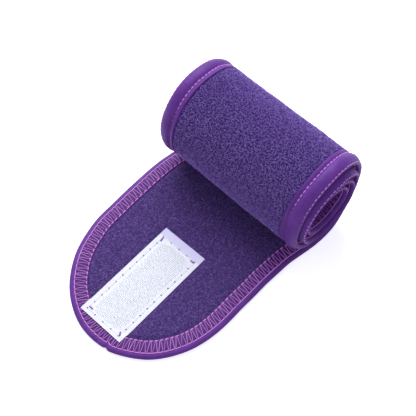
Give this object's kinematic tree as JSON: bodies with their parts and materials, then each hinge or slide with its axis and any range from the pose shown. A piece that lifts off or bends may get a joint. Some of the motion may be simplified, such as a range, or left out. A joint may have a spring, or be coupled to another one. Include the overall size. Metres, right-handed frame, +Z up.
{
  "type": "spa headband",
  "caption": "Stretch towelling spa headband with bound edges and a hook tape patch, rolled up with its rounded fastening end lying flat.",
  "frame": {"origin": "on the table under the roll, on the flat underside of the length of band that the roll stands on", "axes": "+X along the band from the flat fastening end to the roll, +Y to the band's left edge, +Z up"},
  "size_m": [0.1376, 0.0922, 0.0544],
  "materials": {
    "towel": "looped towelling outside, brushed pile inside",
    "binding": "smooth satin knit",
    "hook_tape": "woven nylon with hooks",
    "thread": "polyester thread"
  },
  "bodies": {
    "base": {"towel_base": "towel", "binding_left_base": "binding", "binding_right_base": "binding"},
    "fold_3": {"towel_fold_3": "towel", "binding_left_fold_3": "binding", "binding_right_fold_3": "binding"},
    "fold_2": {"towel_fold_2": "towel", "binding_left_fold_2": "binding", "binding_right_fold_2": "binding"},
    "fold_1": {"towel_fold_1": "towel", "binding_left_fold_1": "binding", "binding_right_fold_1": "binding"},
    "tip": {"towel_tip": "towel", "binding_tip": "binding", "hook_patch": "hook_tape", "patch_stitching": "thread"},
    "turn_01": {"towel_turn_01": "towel", "binding_left_turn_01": "binding", "binding_right_turn_01": "binding"},
    "turn_02": {"towel_turn_02": "towel", "binding_left_turn_02": "binding", "binding_right_turn_02": "binding"},
    "turn_03": {"towel_turn_03": "towel", "binding_left_turn_03": "binding", "binding_right_turn_03": "binding"},
    "turn_04": {"towel_turn_04": "towel", "binding_left_turn_04": "binding", "binding_right_turn_04": "binding"},
    "turn_05": {"towel_turn_05": "towel", "binding_left_turn_05": "binding", "binding_right_turn_05": "binding"},
    "turn_06": {"towel_turn_06": "towel", "binding_left_turn_06": "binding", "binding_right_turn_06": "binding"},
    "turn_07": {"towel_turn_07": "towel", "binding_left_turn_07": "binding", "binding_right_turn_07": "binding"},
    "turn_08": {"towel_turn_08": "towel", "binding_left_turn_08": "binding", "binding_right_turn_08": "binding"},
    "turn_09": {"towel_turn_09": "towel", "binding_left_turn_09": "binding", "binding_right_turn_09": "binding"},
    "turn_10": {"inner_turn_10": "towel"},
    "turn_11": {"inner_turn_11": "towel"},
    "turn_12": {"inner_turn_12": "towel"},
    "turn_13": {"inner_turn_13": "towel"},
    "turn_14": {"inner_turn_14": "towel"},
    "turn_15": {"inner_turn_15": "towel"},
    "turn_16": {"inner_turn_16": "towel"},
    "turn_17": {"inner_turn_17": "towel"},
    "turn_18": {"inner_turn_18": "towel"},
    "turn_19": {"inner_turn_19": "towel"},
    "turn_20": {"inner_turn_20": "towel"},
    "turn_21": {"inner_turn_21": "towel"},
    "turn_22": {"inner_turn_22": "towel"},
    "turn_23": {"inner_turn_23": "towel"},
    "turn_24": {"inner_turn_24": "towel"},
    "turn_25": {"inner_turn_25": "towel"}
  },
  "joints": [
    {"name": "end_fold", "type": "hinge", "parent": "base", "child": "fold_3", "pos_m": [-0.022, -0.00106, 0.002], "axis": [0.0663, 0.9978, 0], "range_deg": [0, 28.5]},
    {"name": "end_fold_b", "type": "hinge", "parent": "fold_3", "child": "fold_2", "pos_m": [-0.0293, -0.0006, 0.002], "axis": [0.0575, 0.9983, 0], "range_deg": [0, 28.51]},
    {"name": "end_fold_c", "type": "hinge", "parent": "fold_2", "child": "fold_1", "pos_m": [-0.0366, -0.00025, 0.002], "axis": [0.0375, 0.9993, 0], "range_deg": [0, 28.51]},
    {"name": "end_fold_d", "type": "hinge", "parent": "fold_1", "child": "tip", "pos_m": [-0.044, -0.00006, 0.002], "axis": [0.0154, 0.9999, 0], "range_deg": [0, 28.51]},
    {"name": "unroll", "type": "hinge", "parent": "base", "child": "turn_01", "pos_m": [0.01316, -0.0034, 0], "axis": [0.0663, 0.9978, 0], "range_deg": [0, 52.02]},
    {"name": "unroll_02", "type": "hinge", "parent": "turn_01", "child": "turn_02", "pos_m": [0.02867, -0.00443, 0.01992], "axis": [0.0663, 0.9978, 0], "range_deg": [0, 47.43]},
    {"name": "unroll_03", "type": "hinge", "parent": "turn_02", "child": "turn_03", "pos_m": [0.02448, -0.00415, 0.04518], "axis": [0.0663, 0.9978, 0], "range_deg": [0, 49.85]},
    {"name": "unroll_04", "type": "hinge", "parent": "turn_03", "child": "turn_04", "pos_m": [0.00434, -0.00281, 0.05717], "axis": [0.0663, 0.9978, 0], "range_deg": [0, 54.05]},
    {"name": "unroll_05", "type": "hinge", "parent": "turn_04", "child": "turn_05", "pos_m": [-0.01701, -0.00139, 0.04795], "axis": [0.0663, 0.9978, 0], "range_deg": [0, 51.46]},
    {"name": "unroll_06", "type": "hinge", "parent": "turn_05", "child": "turn_06", "pos_m": [-0.02347, -0.00096, 0.02416], "axis": [0.0663, 0.9978, 0], "range_deg": [0, 50.81]},
    {"name": "unroll_07", "type": "hinge", "parent": "turn_06", "child": "turn_07", "pos_m": [-0.00979, -0.00187, 0.00498], "axis": [0.0663, 0.9978, 0], "range_deg": [0, 54.97]},
    {"name": "unroll_08", "type": "hinge", "parent": "turn_07", "child": "turn_08", "pos_m": [0.0126, -0.00336, 0.00519], "axis": [0.0663, 0.9978, 0], "range_deg": [0, 55.17]},
    {"name": "unroll_09", "type": "hinge", "parent": "turn_08", "child": "turn_09", "pos_m": [0.02571, -0.00423, 0.02443], "axis": [0.0663, 0.9978, 0], "range_deg": [0, 53.59]},
    {"name": "unroll_10", "type": "hinge", "parent": "turn_09", "child": "turn_10", "pos_m": [0.01816, -0.00373, 0.04608], "axis": [0.0663, 0.9978, 0], "range_deg": [0, 56.57]},
    {"name": "unroll_11", "type": "hinge", "parent": "turn_10", "child": "turn_11", "pos_m": [-0.00302, -0.00232, 0.05144], "axis": [0.0663, 0.9978, 0], "range_deg": [0, 57.67]},
    {"name": "unroll_12", "type": "hinge", "parent": "turn_11", "child": "turn_12", "pos_m": [-0.01908, -0.00126, 0.03618], "axis": [0.0663, 0.9978, 0], "range_deg": [0, 57.36]},
    {"name": "unroll_13", "type": "hinge", "parent": "turn_12", "child": "turn_13", "pos_m": [-0.01498, -0.00153, 0.01474], "axis": [0.0663, 0.9978, 0], "range_deg": [0, 59.87]},
    {"name": "unroll_14", "type": "hinge", "parent": "turn_13", "child": "turn_14", "pos_m": [0.00517, -0.00287, 0.00767], "axis": [0.0663, 0.9978, 0], "range_deg": [0, 60.32]},
    {"name": "unroll_15", "type": "hinge", "parent": "turn_14", "child": "turn_15", "pos_m": [0.02127, -0.00394, 0.0217], "axis": [0.0663, 0.9978, 0], "range_deg": [0, 62.18]},
    {"name": "unroll_16", "type": "hinge", "parent": "turn_15", "child": "turn_16", "pos_m": [0.01662, -0.00363, 0.04157], "axis": [0.0663, 0.9978, 0], "range_deg": [0, 64.05]},
    {"name": "unroll_17", "type": "hinge", "parent": "turn_16", "child": "turn_17", "pos_m": [-0.00364, -0.00228, 0.04617], "axis": [0.0663, 0.9978, 0], "range_deg": [0, 63.12]},
    {"name": "unroll_18", "type": "hinge", "parent": "turn_17", "child": "turn_18", "pos_m": [-0.01653, -0.00142, 0.03059], "axis": [0.0663, 0.9978, 0], "range_deg": [0, 69.72]},
    {"name": "unroll_19", "type": "hinge", "parent": "turn_18", "child": "turn_19", "pos_m": [-0.00697, -0.00206, 0.01403], "axis": [0.0663, 0.9978, 0], "range_deg": [0, 67.7]},
    {"name": "unroll_20", "type": "hinge", "parent": "turn_19", "child": "turn_20", "pos_m": [0.01341, -0.00341, 0.01681], "axis": [0.0663, 0.9978, 0], "range_deg": [0, 70.01]},
    {"name": "unroll_21", "type": "hinge", "parent": "turn_20", "child": "turn_21", "pos_m": [0.01692, -0.00365, 0.033], "axis": [0.0663, 0.9978, 0], "range_deg": [0, 70.25]},
    {"name": "unroll_22", "type": "hinge", "parent": "turn_21", "child": "turn_22", "pos_m": [0.00206, -0.00266, 0.04231], "axis": [0.0663, 0.9978, 0], "range_deg": [0, 69.25]},
    {"name": "unroll_23", "type": "hinge", "parent": "turn_22", "child": "turn_23", "pos_m": [-0.01119, -0.00178, 0.03222], "axis": [0.0663, 0.9978, 0], "range_deg": [0, 70.43]},
    {"name": "unroll_24", "type": "hinge", "parent": "turn_23", "child": "turn_24", "pos_m": [-0.00752, -0.00202, 0.02065], "axis": [0.0663, 0.9978, 0], "range_deg": [0, 70.31]},
    {"name": "unroll_25", "type": "hinge", "parent": "turn_24", "child": "turn_25", "pos_m": [0.00897, -0.00312, 0.02005], "axis": [0.0663, 0.9978, 0], "range_deg": [0, 70.16]}
  ],
  "couplings": [
    {"joint": "end_fold_b", "follows": "end_fold", "ratio": 1},
    {"joint": "end_fold_c", "follows": "end_fold", "ratio": 1},
    {"joint": "end_fold_d", "follows": "end_fold", "ratio": 1},
    {"joint": "unroll_02", "follows": "unroll", "ratio": 0.91145},
    {"joint": "unroll_03", "follows": "unroll", "ratio": 0.95793},
    {"joint": "unroll_04", "follows": "unroll", "ratio": 1.0387},
    {"joint": "unroll_05", "follows": "unroll", "ratio": 0.98893},
    {"joint": "unroll_06", "follows": "unroll", "ratio": 0.97651},
    {"joint": "unroll_07", "follows": "unroll", "ratio": 1.0564},
    {"joint": "unroll_08", "follows": "unroll", "ratio": 1.0603},
    {"joint": "unroll_09", "follows": "unroll", "ratio": 1.0299},
    {"joint": "unroll_10", "follows": "unroll", "ratio": 1.0872},
    {"joint": "unroll_11", "follows": "unroll", "ratio": 1.1083},
    {"joint": "unroll_12", "follows": "unroll", "ratio": 1.1025},
    {"joint": "unroll_13", "follows": "unroll", "ratio": 1.1507},
    {"joint": "unroll_14", "follows": "unroll", "ratio": 1.1593},
    {"joint": "unroll_15", "follows": "unroll", "ratio": 1.1951},
    {"joint": "unroll_16", "follows": "unroll", "ratio": 1.231},
    {"joint": "unroll_17", "follows": "unroll", "ratio": 1.2132},
    {"joint": "unroll_18", "follows": "unroll", "ratio": 1.3399},
    {"joint": "unroll_19", "follows": "unroll", "ratio": 1.3012},
    {"joint": "unroll_20", "follows": "unroll", "ratio": 1.3456},
    {"joint": "unroll_21", "follows": "unroll", "ratio": 1.3502},
    {"joint": "unroll_22", "follows": "unroll", "ratio": 1.3309},
    {"joint": "unroll_23", "follows": "unroll", "ratio": 1.3535},
    {"joint": "unroll_24", "follows": "unroll", "ratio": 1.3512},
    {"joint": "unroll_25", "follows": "unroll", "ratio": 1.3485}
  ]
}
